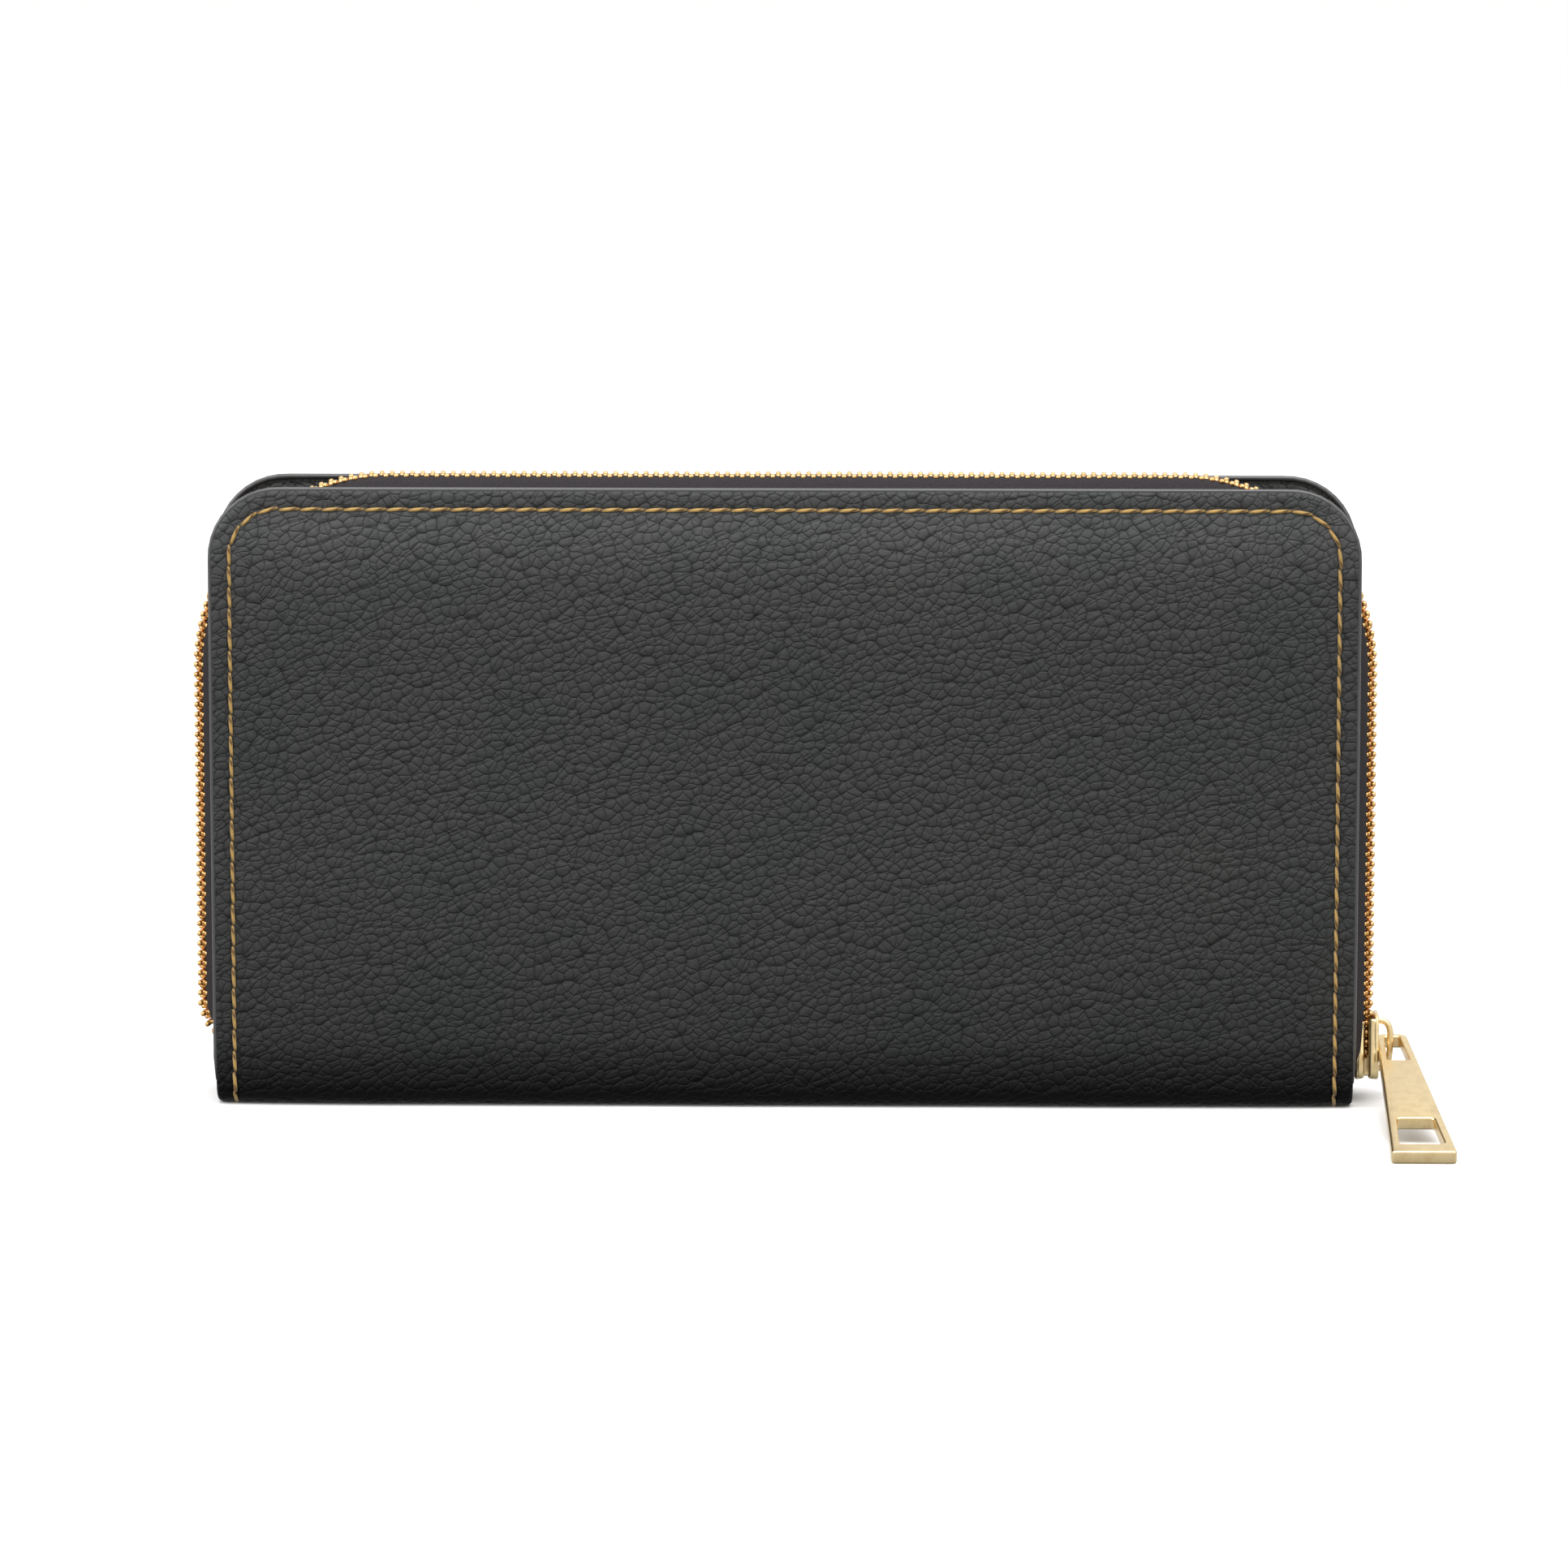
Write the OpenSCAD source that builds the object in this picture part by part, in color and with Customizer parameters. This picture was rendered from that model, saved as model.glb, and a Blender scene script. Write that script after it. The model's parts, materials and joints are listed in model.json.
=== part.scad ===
// Zip around wallet: two stiffened leather halves joined by a spine, a metal zip round three
// sides, card slots in both halves and a zipped coin pocket on a central leaf.
// X runs along the width, Z up, and -Y is the front. The origin is the middle of the spine's
// flat underside. Depths are measured outwards from the plane where the two halves meet.

/* [Covers] */
// Width of the covers
cover_w = 200; // [180:1:210]
// Height of the closed wallet, without the zip
cover_h = 109.3; // [105:0.1:115]
// Thickness of the closed wallet
closed_t = 20; // [19.5:0.1:24]
// Radius of the covers' two upper corners
cover_r = 12; // [8:0.5:16]
// Thickness of the outer leather
leather_t = 1.2; // [0.9:0.1:1.4]
// Thickness of the stiffening board
board_t = 0.8; // [0.5:0.1:1]
// Thickness of the lining, and of the bill divider
lining_t = 0.5; // [0.4:0.1:0.6]

/* [Card slots] */
// Thickness of one card slot strip
slot_t = 0.55; // [0.4:0.05:0.6]
// How much lower each slot's mouth is than the one behind it
slot_step = 13; // [10:1:16]
// Height of the deepest slot's mouth
slot_top = 91; // [80:1:95]

/* [Main zip] */
// Distance between two teeth of one row
tooth_pitch = 1.78; // [1.5:0.01:2.2]
// Length of a tooth along the zip
tooth_l = 0.85; // [0.7:0.05:1]
// Thickness of the chain
chain_t = 2.4; // [2:0.1:2.8]
// How far the middle of the chain stands out past the covers' side edges
chain_out = 2.7; // [2.5:0.1:3.5]
// Length of the slider
slider_l = 11.5; // [10:0.5:12]
// Length of the pull tab from its pivot to its tip
pull_l = 55; // [40:1:58]
// Width of the pull tab at its tip
pull_w = 11.3; // [9:0.1:12]
// Thickness of the pull tab
pull_t = 2.3; // [2:0.1:2.4]

/* [Coin pocket] */
// Width of the coin pocket
coin_w = 172; // [150:1:172]
// Height of the coin pocket's mouth above the table
coin_top = 86; // [70:1:86]
// Length of the coin zip's pull
coin_pull_l = 16.5; // [10:0.5:16.5]

/* [Hidden] */

// Leather, lining and metal colours
black_leather = [0.13, 0.13, 0.13];
lining_grey = [0.2, 0.2, 0.21];
tape_grey = [0.17, 0.15, 0.18];
card_grey = [0.75, 0.74, 0.7];
zip_gold = [0.8, 0.65, 0.36];
pale_gold = [0.87, 0.78, 0.58];
thread_gold = [0.62, 0.48, 0.25];

half_w = cover_w / 2;
half_t = closed_t / 2;
arc_fn = 96;

// Each half's layers, as depths from the meeting plane
leather_in = half_t - leather_t;
board_in = leather_in - board_t;
lining_in = board_in - lining_t;
divider_in = lining_in - lining_t;
slot_count = 4;
slots_in = divider_in - slot_count * slot_t;

// The fold under the front cover: its axis runs along X through the leather's corner
fold_y = -(half_t - leather_t / 2);
fold_z = 0.8;
spine_lining_t = 0.5;
cover_low = leather_t + 0.3;
inner_low = 3;
slot_low = 5;

// The board and lining stop short of the covers' edges, where the zip tape is sewn in
board_inset = 7;
lining_inset = 1.5;
lining_top = cover_h - 3.3;
lining_r = 24;
slot_inset = 6;

// The chain's path: up one side, over the top and down the other
chain_x = half_w + chain_out;
chain_top = cover_h + 0.9;
chain_r = 33;
chain_low = 5;
left_chain_low = 12.5;
teeth_in = 0.5;
teeth_out = 2.3;
tape_t = 0.5;
tape_low = 2;
flange_w = 6.3;
flange_in = half_w - flange_w;
flange_r = 12;

// The stitch line
stitch_inset = 3.3;
stitch_pitch = 3.75;
stitch_l = 2.9;
stitch_w = 0.6;
stitch_t = 0.3;
stitch_low = 4.5;

// The gussets, folded inwards at rest
gusset_mouth_x = half_w - 2.5;
gusset_tip_x = half_w - 12;
gusset_y = slots_in - 0.2;
gusset_t = 0.6;
gusset_top = 78;

// The main slider: two plates joined by a post between the rows
plate_t = 0.6;
plate_gap = 0.2;
plate_half_y = 3.9;
plate_tail_y = 2.8;
slider_low = 4;
post_t = 0.6;
post_l = 3.2;
inner_plate_x = chain_x - chain_t / 2 - plate_gap - plate_t;
outer_plate_x = chain_x + chain_t / 2 + plate_gap;
bridge_x = outer_plate_x + plate_t;
bridge_l = 9.4;
bridge_out = 2.8;
bridge_wall = 1.1;
bridge_half_y = 0.6;
pivot_z = slider_low + 5;
bridge_mid_z = pivot_z + 0.7;

// The pull tab, which lies forward with its tip on the table
pull_gap = 0.15;
pull_x = bridge_x + pull_gap;
bar_w = 1.25;
window_back = 3.3;
window_front = 9;
pull_back = window_back + bar_w;
head_w = bridge_out + 1.1 + bar_w;
pull_splay = 0.6;
tip_window_l = 12.8;
tip_window_side = 1.5;
tip_window_end = 3.9;
tip_r = 1.2;
pull_rest = asin((pivot_z - pull_t / 2) / pull_l);

// The coin pocket's leaf
coin_half_w = coin_w / 2;
coin_out = 2.5;
coin_panel_t = 0.6;
coin_in = coin_out - coin_panel_t;
coin_low = 4.4;
coin_edge_w = 3;
coin_tape_t = 0.4;
coin_tape_l = 8;
coin_zip_half = coin_half_w - 5;
coin_pitch = 2;
coin_tooth_l = 1;
coin_tooth_h = 1.6;
coin_tooth_in = 0.4;
coin_slider_l = 8;
coin_slider_x = coin_zip_half - 7;
coin_plate_z = coin_top + 0.3;
coin_plate_t = 0.8;
coin_bridge_l = 4.4;
coin_bridge_h = 2.4;
coin_wall = 0.6;
coin_pivot_z = coin_plate_z + coin_plate_t + 1.05;
coin_pin_r = 0.45;
coin_pull_t = 1;
coin_pull_w = 4;
coin_body_start = 3.4;

// Extrudes a drawing in the X-Z plane from one depth of the front half to another
module layer(inner, outer)
    rotate([90, 0, 0]) translate([0, 0, inner]) linear_extrude(outer - inner) children();

module on_back() mirror([0, 1, 0]) children();

// A panel with a straight foot and two rounded upper corners
module panel_outline(half, low, high, r) {
    translate([-half, low]) square([2 * half, high - low - r]);
    translate([r - half, low]) square([2 * (half - r), high - low]);
    for (side = [-1, 1])
        translate([side * (half - r), high - r]) circle(r, $fn = arc_fn);
}

// Place and direction at a distance along a path up, over and down such a panel
function round_path(s, half, low, high, r) = let(
    rise = high - r - low,
    bend = PI * r / 2,
    across = 2 * (half - r),
    turn = 180 / PI / r)
    s < rise ? [-half, low + s, 90]
    : s < rise + bend ? let(g = (s - rise) * turn)
        [r - half - r * cos(g), high - r + r * sin(g), 90 - g]
    : s < rise + bend + across ? [r - half + s - rise - bend, high, 0]
    : s < rise + 2 * bend + across ? let(g = (s - rise - bend - across) * turn)
        [half - r + r * sin(g), high - r + r * cos(g), -g]
    : [half, high - r - (s - rise - 2 * bend - across), -90];

function round_length(half, low, high, r) = 2 * (high - r - low) + PI * r + 2 * (half - r);

// Small bars laid along such a path at an even pitch
module bars_along(first, pitch, half, low, high, r, bar, inner, outer) {
    count = floor((round_length(half, low, high, r) - first - bar[0] / 2) / pitch);
    for (i = [0 : count]) {
        at = round_path(first + i * pitch, half, low, high, r);
        translate([at[0], -outer, at[1]]) rotate([0, -at[2], 0])
            translate([-bar[0] / 2, 0, -bar[1] / 2]) cube([bar[0], outer - inner, bar[1]]);
    }
}

// Covers
module cover_leather() color(black_leather)
    layer(leather_in, half_t) panel_outline(half_w, cover_low, cover_h, cover_r);

module cover_board() color(card_grey)
    layer(board_in, leather_in)
        panel_outline(half_w - board_inset, inner_low, cover_h - board_inset, flange_r);

module cover_lining() color(lining_grey)
    layer(lining_in, board_in)
        panel_outline(half_w - lining_inset, inner_low, lining_top, lining_r);

module bill_divider() color(black_leather)
    layer(divider_in, lining_in)
        panel_outline(half_w - slot_inset, inner_low, slot_top + 4, 2);

// Slot 1 has the highest mouth and lies against the divider
module card_slot(n) color(black_leather)
    layer(divider_in - n * slot_t, divider_in - (n - 1) * slot_t)
        panel_outline(half_w - slot_inset, slot_low, slot_top - (n - 1) * slot_step, 1);

module stitching() color(thread_gold)
    bars_along(stitch_l / 2, stitch_pitch, half_w - stitch_inset, stitch_low,
        cover_h - stitch_inset, cover_r - stitch_inset, [stitch_l, stitch_w], half_t,
        half_t + stitch_t);

// The tape's flange is sewn under the leather, and its wall carries the teeth
module zip_tape() color(tape_grey) {
    layer(board_in, leather_in) difference() {
        panel_outline(chain_x + tape_t / 2, tape_low, chain_top + tape_t / 2, chain_r);
        panel_outline(flange_in, tape_low - 1, cover_h - flange_w, flange_r);
    }
    layer(teeth_out, board_in) difference() {
        panel_outline(chain_x + tape_t / 2, tape_low, chain_top + tape_t / 2, chain_r);
        panel_outline(chain_x - tape_t / 2, tape_low - 1, chain_top - tape_t / 2,
            chain_r - tape_t);
    }
}

module zip_teeth() color(zip_gold)
    bars_along(left_chain_low - chain_low, tooth_pitch, chain_x, chain_low, chain_top,
        chain_r, [tooth_l, chain_t], teeth_in, teeth_out);

module front_cover_leather() cover_leather();
module front_cover_board() cover_board();
module front_cover_lining() cover_lining();
module front_bill_divider() bill_divider();
module front_card_slot_1() card_slot(1);
module front_card_slot_2() card_slot(2);
module front_card_slot_3() card_slot(3);
module front_card_slot_4() card_slot(4);
module front_stitching() stitching();
module zip_tape_front() zip_tape();
module zip_teeth_front() zip_teeth();

module back_cover_leather() on_back() cover_leather();
module back_cover_board() on_back() cover_board();
module back_cover_lining() on_back() cover_lining();
module back_bill_divider() on_back() bill_divider();
module back_card_slot_1() on_back() card_slot(1);
module back_card_slot_2() on_back() card_slot(2);
module back_card_slot_3() on_back() card_slot(3);
module back_card_slot_4() on_back() card_slot(4);
module back_stitching() on_back() stitching();
module zip_tape_back() on_back() zip_tape();
module zip_teeth_back() on_back() zip_teeth();

// Spine: its leather stops just behind the fold, where the front cover turns
module spine_leather() color(black_leather)
    translate([-half_w, 0.4 - half_t, 0])
        cube([cover_w, closed_t - 0.4, leather_t]);

module spine_lining() color(lining_grey)
    translate([lining_inset - half_w, -leather_in, leather_t])
        cube([cover_w - 2 * lining_inset, 2 * leather_in, spine_lining_t]);

// Metal stops crimped to the back tape's edge at the two ends of the chain
module zip_end_stops() color(zip_gold) {
    stop_h = 1.6;
    stop_y = teeth_out - teeth_in;
    for (end = [[-chain_x, left_chain_low - tooth_pitch], [chain_x, slider_low - 1.2]])
        translate([end[0] - chain_t / 2, teeth_in, end[1] - stop_h / 2])
            cube([chain_t, stop_y, stop_h]);
}

// A side gusset: a sheet folded inwards to a vee, with a lip sewn to the back lining
module gusset() color(lining_grey)
    translate([0, 0, inner_low]) linear_extrude(gusset_top - inner_low) polygon([
        [gusset_mouth_x, lining_in],
        [gusset_mouth_x - gusset_t, lining_in],
        [gusset_mouth_x - gusset_t, gusset_y],
        [gusset_tip_x, 0],
        [gusset_mouth_x - gusset_t, -gusset_y],
        [gusset_mouth_x, -gusset_y],
        [gusset_tip_x + 2 * gusset_t, 0],
        [gusset_mouth_x, gusset_y]]);

module right_gusset() gusset();
module left_gusset() mirror([1, 0, 0]) gusset();

// Coin pocket
module coin_panel() color(black_leather)
    layer(coin_in, coin_out) panel_outline(coin_half_w, coin_low, coin_top, 2);

module coin_pocket_front_panel() coin_panel();
module coin_pocket_back_panel() on_back() coin_panel();

// The turned strip that closes the pocket's foot and sides
module coin_pocket_edge() color(black_leather)
    layer(-coin_in, coin_in) difference() {
        translate([-coin_half_w, coin_low])
            square([coin_w, coin_top - coin_tape_l - coin_low - 1]);
        translate([coin_edge_w - coin_half_w, coin_low + coin_edge_w])
            square([coin_w - 2 * coin_edge_w, coin_top]);
    }

module coin_zip_tape() color(tape_grey)
    for (side = [0, 1]) mirror([0, side, 0])
        translate([-coin_zip_half, coin_in - coin_tape_t, coin_top - coin_tape_l])
            cube([2 * coin_zip_half, coin_tape_t, coin_tape_l]);

module coin_zip_teeth() color(zip_gold)
    for (side = [0, 1]) mirror([0, side, 0])
        for (x = [1 - coin_zip_half : coin_pitch : coin_zip_half - 1])
            translate([x - coin_tooth_l / 2, coin_tooth_in, coin_top - coin_tooth_h])
                cube([coin_tooth_l, coin_in - coin_tape_t - coin_tooth_in, coin_tooth_h]);

// The coin zip's slider: plates above and below the chain, a post between the rows, a bridge
module coin_zip_slider() color(zip_gold) translate([coin_slider_x, 0, 0]) {
    low_plate_z = coin_top - coin_tooth_h - 0.3 - coin_plate_t;
    low_plate_y = coin_in - coin_tape_t - 0.2;
    post_y = coin_tooth_in - 0.15;
    translate([-coin_slider_l / 2, -coin_in - 0.3, coin_plate_z])
        cube([coin_slider_l, 2 * (coin_in + 0.3), coin_plate_t]);
    translate([-coin_slider_l / 2, -low_plate_y, low_plate_z])
        cube([coin_slider_l, 2 * low_plate_y, coin_plate_t]);
    translate([coin_slider_l / 2 - 2, -post_y, low_plate_z + coin_plate_t])
        cube([2, 2 * post_y, coin_plate_z - low_plate_z - coin_plate_t]);
    translate([0, coin_wall, coin_plate_z + coin_plate_t]) rotate([90, 0, 0])
        linear_extrude(2 * coin_wall) difference() {
            translate([-coin_bridge_l / 2, 0]) square([coin_bridge_l, coin_bridge_h]);
            translate([coin_wall - coin_bridge_l / 2, 0])
                square([coin_bridge_l - 2 * coin_wall, coin_bridge_h - coin_wall]);
        }
}

// Its pull lies back along the pocket's mouth and turns about its own cross pin
module coin_zip_pull() color(pale_gold) translate([coin_slider_x, 0, coin_pivot_z]) {
    arm_y = coin_wall + 0.4;
    arm_w = coin_pull_w / 2 - arm_y;
    rotate([90, 0, 0]) translate([0, 0, -coin_pull_w / 2])
        cylinder(h = coin_pull_w, r = coin_pin_r, $fn = 32);
    for (side = [0, 1]) mirror([0, side, 0])
        translate([-coin_body_start, arm_y, -coin_pull_t / 2])
            cube([coin_body_start + coin_pin_r, arm_w, coin_pull_t]);
    translate([-coin_pull_l, -coin_pull_w / 2, -coin_pull_t / 2])
        cube([coin_pull_l - coin_body_start, coin_pull_w, coin_pull_t]);
}

// Main slider. Its plates lie across the chain at X, and taper towards the closed chain
module slider_plate(x)
    translate([x, 0, slider_low]) rotate([90, 0, 90]) linear_extrude(plate_t) polygon([
        [-plate_half_y + 1, 0],
        [plate_half_y - 1, 0],
        [plate_half_y, 1.2],
        [plate_half_y, 4.5],
        [plate_tail_y, slider_l - 1],
        [plate_tail_y - 1, slider_l],
        [1 - plate_tail_y, slider_l],
        [-plate_tail_y, slider_l - 1],
        [-plate_half_y, 4.5],
        [-plate_half_y, 1.2]]);

module zip_slider() color(pale_gold) {
    slider_plate(inner_plate_x);
    slider_plate(outer_plate_x);
    translate([inner_plate_x + plate_t, -post_t / 2, slider_low])
        cube([outer_plate_x - inner_plate_x - plate_t, post_t, post_l]);
}

// The bridge that the pull hangs from stands on the outer plate
module zip_slider_bridge() color(pale_gold)
    translate([bridge_x, bridge_half_y, bridge_mid_z]) rotate([90, 0, 0])
        linear_extrude(2 * bridge_half_y) difference() {
            bridge_profile(bridge_out, bridge_l / 2, 2.4);
            bridge_profile(bridge_out - bridge_wall, bridge_l / 2 - bridge_wall, 1.2);
        }

// A flat-footed loop outline, standing on the plate, with its two outer corners rounded
module bridge_profile(out, half, r) intersection() {
    translate([0, -half]) square([out, 2 * half]);
    union() {
        translate([0, -half]) square([out - r, 2 * half]);
        translate([0, r - half]) square([out, 2 * (half - r)]);
        for (side = [-1, 1])
            translate([out - r, side * (half - r)]) circle(r, $fn = 48);
    }
}

// The pull is drawn in its own plane, with the pivot at 0 and the tip at -pull_l. Both of its
// long edges slant outwards from the head to the tip.
function pull_share(along) = (pull_back - along) / (pull_back + pull_l);
function inner_edge(along) = -pull_splay * pull_share(along);
function outer_edge(along) = head_w + (pull_w - pull_splay - head_w) * pull_share(along);

module pull_window(back, front, side) polygon([
    [inner_edge(back) + side, back],
    [outer_edge(back) - side, back],
    [outer_edge(front) - side, front],
    [inner_edge(front) + side, front]]);

module pull_outline() difference() {
    polygon([
        [0, pull_back],
        [head_w, pull_back],
        [outer_edge(tip_r - pull_l), tip_r - pull_l],
        [outer_edge(-pull_l) - tip_r, -pull_l],
        [inner_edge(-pull_l) + tip_r, -pull_l],
        [inner_edge(tip_r - pull_l), tip_r - pull_l]]);
    pull_window(window_back, -window_front, bar_w);
    pull_window(tip_window_end + tip_window_l - pull_l, tip_window_end - pull_l, tip_window_side);
}

module zip_pull() color(pale_gold)
    translate([pull_x, 0, pivot_z]) rotate([pull_rest, 0, 0])
        translate([0, 0, -pull_t / 2]) linear_extrude(pull_t) pull_outline();

spine_leather();
spine_lining();
back_cover_leather();
back_cover_board();
back_cover_lining();
back_bill_divider();
back_card_slot_1();
back_card_slot_2();
back_card_slot_3();
back_card_slot_4();
zip_tape_back();
zip_teeth_back();
zip_end_stops();
left_gusset();
right_gusset();
back_stitching();
front_cover_leather();
front_cover_board();
front_cover_lining();
front_bill_divider();
front_card_slot_1();
front_card_slot_2();
front_card_slot_3();
front_card_slot_4();
zip_tape_front();
zip_teeth_front();
front_stitching();
coin_pocket_front_panel();
coin_pocket_back_panel();
coin_pocket_edge();
coin_zip_tape();
coin_zip_teeth();
coin_zip_slider();
coin_zip_pull();
zip_slider();
zip_slider_bridge();
zip_pull();
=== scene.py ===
"""Zip around wallet: the looks of each piece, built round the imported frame.

Lengths are in millimetres, and MM turns them into metres."""

import json
import math

import bmesh
import bpy
import numpy as np
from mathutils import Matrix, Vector


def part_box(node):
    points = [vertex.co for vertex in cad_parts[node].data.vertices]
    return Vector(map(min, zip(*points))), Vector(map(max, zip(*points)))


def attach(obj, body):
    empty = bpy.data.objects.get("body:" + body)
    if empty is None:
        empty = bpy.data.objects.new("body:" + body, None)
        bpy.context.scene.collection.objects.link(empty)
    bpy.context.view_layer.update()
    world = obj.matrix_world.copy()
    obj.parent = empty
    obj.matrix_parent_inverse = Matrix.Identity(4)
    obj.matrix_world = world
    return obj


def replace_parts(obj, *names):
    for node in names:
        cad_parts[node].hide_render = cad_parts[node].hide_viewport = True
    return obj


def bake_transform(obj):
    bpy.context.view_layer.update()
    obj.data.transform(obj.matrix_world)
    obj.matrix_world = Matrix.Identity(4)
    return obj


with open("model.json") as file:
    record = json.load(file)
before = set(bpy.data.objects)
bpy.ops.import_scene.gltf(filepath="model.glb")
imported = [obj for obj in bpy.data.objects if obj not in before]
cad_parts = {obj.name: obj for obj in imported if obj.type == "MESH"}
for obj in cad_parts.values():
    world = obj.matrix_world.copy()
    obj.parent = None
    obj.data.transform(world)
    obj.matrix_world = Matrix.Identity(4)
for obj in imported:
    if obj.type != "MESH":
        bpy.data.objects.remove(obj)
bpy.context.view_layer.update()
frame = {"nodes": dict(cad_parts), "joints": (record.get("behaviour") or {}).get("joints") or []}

MM = 0.001
FRONT, BACK = -1, 1
HALVES = ((FRONT, "front_half", "front"), (BACK, "back_half", "back"))


# -------------------------------- sizes read from the frame
def box_mm(node):
    low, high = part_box(node)
    return [v / MM for v in low], [v / MM for v in high]


def joint_pos(name):
    return [v / MM for v in next(j for j in frame["joints"] if j["name"] == name)["pos_m"]]


leather_low, leather_high = box_mm("back_cover_leather")
HALF_W = leather_high[0]
COVER_TOP = leather_high[2]
HALF_T = leather_high[1]
COVER_R = 12.0
LEATHER_T = leather_high[1] - leather_low[1]
teeth_low, teeth_high = box_mm("zip_teeth_back")
CHAIN_T = 2.4
CHAIN_X = teeth_high[0] - CHAIN_T / 2
CHAIN_TOP = teeth_high[2] - CHAIN_T / 2
CHAIN_R = 33.0
TOOTH_PITCH = 1.78
STITCH_INSET = 3.3
STITCH_PITCH = 3.75

# The outer skin's bend under the wallet, and how far along the skin the middle of its underside is
SKIN_R = 4.5
SKIN_FOLD_S = COVER_TOP - SKIN_R + SKIN_R * math.pi / 2 + HALF_T - SKIN_R
# Metres of leather to a unit of UV
LEATHER_UV = 0.25


# -------------------------------- node materials
def fill_ramp(node, stops):
    """Sets a colour ramp's stops, as (place, grey level)."""
    elements = node.color_ramp.elements
    while len(elements) < len(stops):
        elements.new(0.5)
    for element, (place, level) in zip(elements, stops):
        element.position = place
        element.color = (level, level, level, 1)


class Nodes:
    """A short way to write a material's node tree."""

    def __init__(self, name, **principled):
        self.material = bpy.data.materials.new(name)
        self.material.use_nodes = True
        self.tree = self.material.node_tree
        self.tree.nodes.clear()
        self.shader = self.add("ShaderNodeBsdfPrincipled", **principled)
        out = self.add("ShaderNodeOutputMaterial")
        self.link(self.shader.outputs[0], out.inputs["Surface"])

    def add(self, kind, props=None, **inputs):
        node = self.tree.nodes.new(kind)
        for key, value in (props or {}).items():
            setattr(node, key, value)
        for key, value in inputs.items():
            socket = node.inputs[int(key[1:])] if key[0] == "i" and key[1:].isdigit() else \
                node.inputs[key.replace("_", " ")]
            self.put(value, socket)
        return node

    def put(self, value, socket):
        if isinstance(value, bpy.types.NodeSocket):
            self.link(value, socket)
        else:
            socket.default_value = value

    def link(self, a, b):
        self.tree.links.new(a, b)

    def math(self, operation, a, b=0.0, c=0.0):
        return self.add("ShaderNodeMath", {"operation": operation}, i0=a, i1=b, i2=c).outputs[0]

    def ramp(self, value, *stops):
        node = self.add("ShaderNodeValToRGB", Fac=value)
        fill_ramp(node, stops)
        return node.outputs[0]

    def noise(self, vector, scale, detail=3.0, roughness=0.55):
        return self.add("ShaderNodeTexNoise", Vector=vector, Scale=scale, Detail=detail,
                        Roughness=roughness).outputs["Fac"]

    def mapped(self, source, scale=(1, 1, 1), turn=0.0):
        return self.add("ShaderNodeMapping", Vector=source, Rotation=(0, 0, turn),
                        Scale=scale).outputs[0]

    def coords(self, output):
        return self.add("ShaderNodeTexCoord").outputs[output]

    def mix(self, factor, a, b):
        node = self.add("ShaderNodeMix", {"data_type": "RGBA"}, Factor=factor)
        self.put(a, node.inputs[6])
        self.put(b, node.inputs[7])
        return node.outputs[2]

    def bump(self, height, distance, strength):
        return self.add("ShaderNodeBump", Height=height, Distance=distance,
                        Strength=strength).outputs[0]

    def cells(self, vector, scale, feature):
        return self.add("ShaderNodeTexVoronoi", {"feature": feature, "voronoi_dimensions": "2D"},
                        Vector=vector, Scale=scale, Randomness=1.0).outputs["Distance"]

    def creases(self, vector, scale, reach):
        """Flat cells: 0 in the creases, rising steeply and then levelling at 1."""
        edge = self.cells(vector, scale, "DISTANCE_TO_EDGE")
        short = self.math("SUBTRACT", 1.0, self.math("MINIMUM", self.math("DIVIDE", edge, reach), 1.0))
        return self.math("SUBTRACT", 1.0, self.math("MULTIPLY", short, short))

    def pebbles(self, vector, scale, reach):
        """Domed cells with creases between them, from 0 to 1."""
        away = self.cells(vector, scale, "F1")
        dome = self.math("SUBTRACT", 1.0, self.math("MULTIPLY", away, away))
        crease = self.creases(vector, scale, reach)
        return self.math("MULTIPLY_ADD", dome, 0.7, self.math("MULTIPLY", crease, 0.3))

    def surface(self, colour, roughness, normal=None):
        self.put(colour, self.shader.inputs["Base Color"])
        self.put(roughness, self.shader.inputs["Roughness"])
        if normal is not None:
            self.put(normal, self.shader.inputs["Normal"])
        return self.material


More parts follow.
